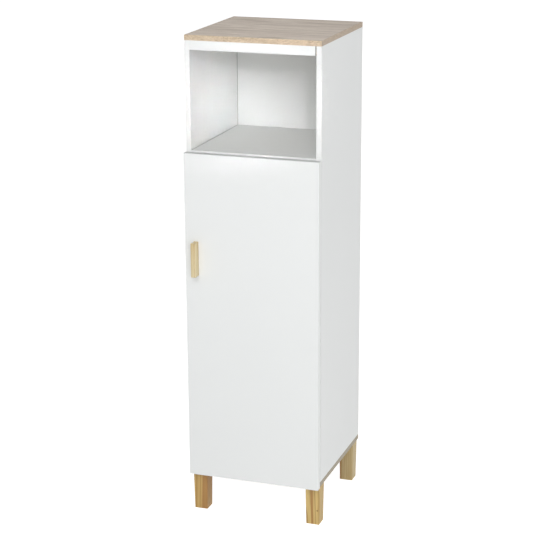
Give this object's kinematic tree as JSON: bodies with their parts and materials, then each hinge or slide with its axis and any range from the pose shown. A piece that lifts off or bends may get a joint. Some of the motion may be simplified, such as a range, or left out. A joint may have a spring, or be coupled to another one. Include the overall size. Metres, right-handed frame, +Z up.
{
  "type": "bathroom shelf unit",
  "caption": "Tall narrow bathroom unit on square pine legs, with an oak-effect top, an open niche, and a cupboard behind a full-overlay door with a wooden bar handle.",
  "frame": {"origin": "on the floor, under the middle of the whole unit's box, handle included", "axes": "+X to the right seen from the front, +Y to the back (the wall), +Z up"},
  "size_m": [0.32, 0.3544, 1.14],
  "materials": {
    "oak_decor": "greige oak-effect laminate on chipboard, fine grain, matt",
    "oak_edge": "lighter oak-effect edge banding, matt",
    "white_board": "white melamine-faced board, silk matt",
    "white_edge": "white edge banding, silk matt",
    "pine": "solid pine, clear matt lacquer",
    "beech": "fluted beech dowel, raw",
    "steel": "zinc-plated steel",
    "zinc": "die-cast zinc, satin",
    "nickel": "nickel-plated pressed steel",
    "clear_rubber": "clear soft plastic, satin"
  },
  "bodies": {
    "carcass": {"arm_screws": "steel", "back_panel": "white_board", "bottom_cam_bolts": "steel", "bottom_cams": "zinc", "bottom_dowels": "beech", "bottom_front_band": "oak_edge", "bottom_left_band": "oak_edge", "bottom_panel": "oak_decor", "bottom_right_band": "oak_edge", "bracket_screws": "steel", "fixed_shelf": "white_board", "fixed_shelf_band": "white_edge", "front_left_leg": "pine", "front_rail": "white_board", "front_right_leg": "pine", "inner_shelf": "white_board", "inner_shelf_band": "white_edge", "left_side": "white_board", "left_side_band": "white_edge", "leg_bolts": "steel", "leg_inserts": "zinc", "lower_hinge_arm": "nickel", "lower_hinge_plate": "nickel", "plate_screws": "steel", "rail_dowels": "beech", "rear_left_leg": "pine", "rear_right_leg": "pine", "right_side": "white_board", "right_side_band": "white_edge", "shelf_cam_bolts": "steel", "shelf_cams": "zinc", "shelf_dowels": "beech", "shelf_pins": "zinc", "top_cam_bolts": "steel", "top_cams": "zinc", "top_dowels": "beech", "top_front_band": "oak_edge", "top_left_band": "oak_edge", "top_panel": "oak_decor", "top_right_band": "oak_edge", "upper_hinge_arm": "nickel", "upper_hinge_plate": "nickel", "wall_bracket": "steel"},
    "door": {"cup_screws": "steel", "door_bottom_band": "white_edge", "door_bumpers": "clear_rubber", "door_left_band": "white_edge", "door_panel": "white_board", "door_right_band": "white_edge", "door_top_band": "white_edge", "handle": "pine", "handle_screws": "steel", "hinge_pins": "steel", "lower_hinge_cup": "nickel", "upper_hinge_cup": "nickel"}
  },
  "joints": [
    {"name": "door_swing", "type": "hinge", "parent": "carcass", "child": "door", "pos_m": [0.1535, -0.14925, 0.48645], "axis": [0, 0, 1], "range_deg": [0, 95]}
  ]
}
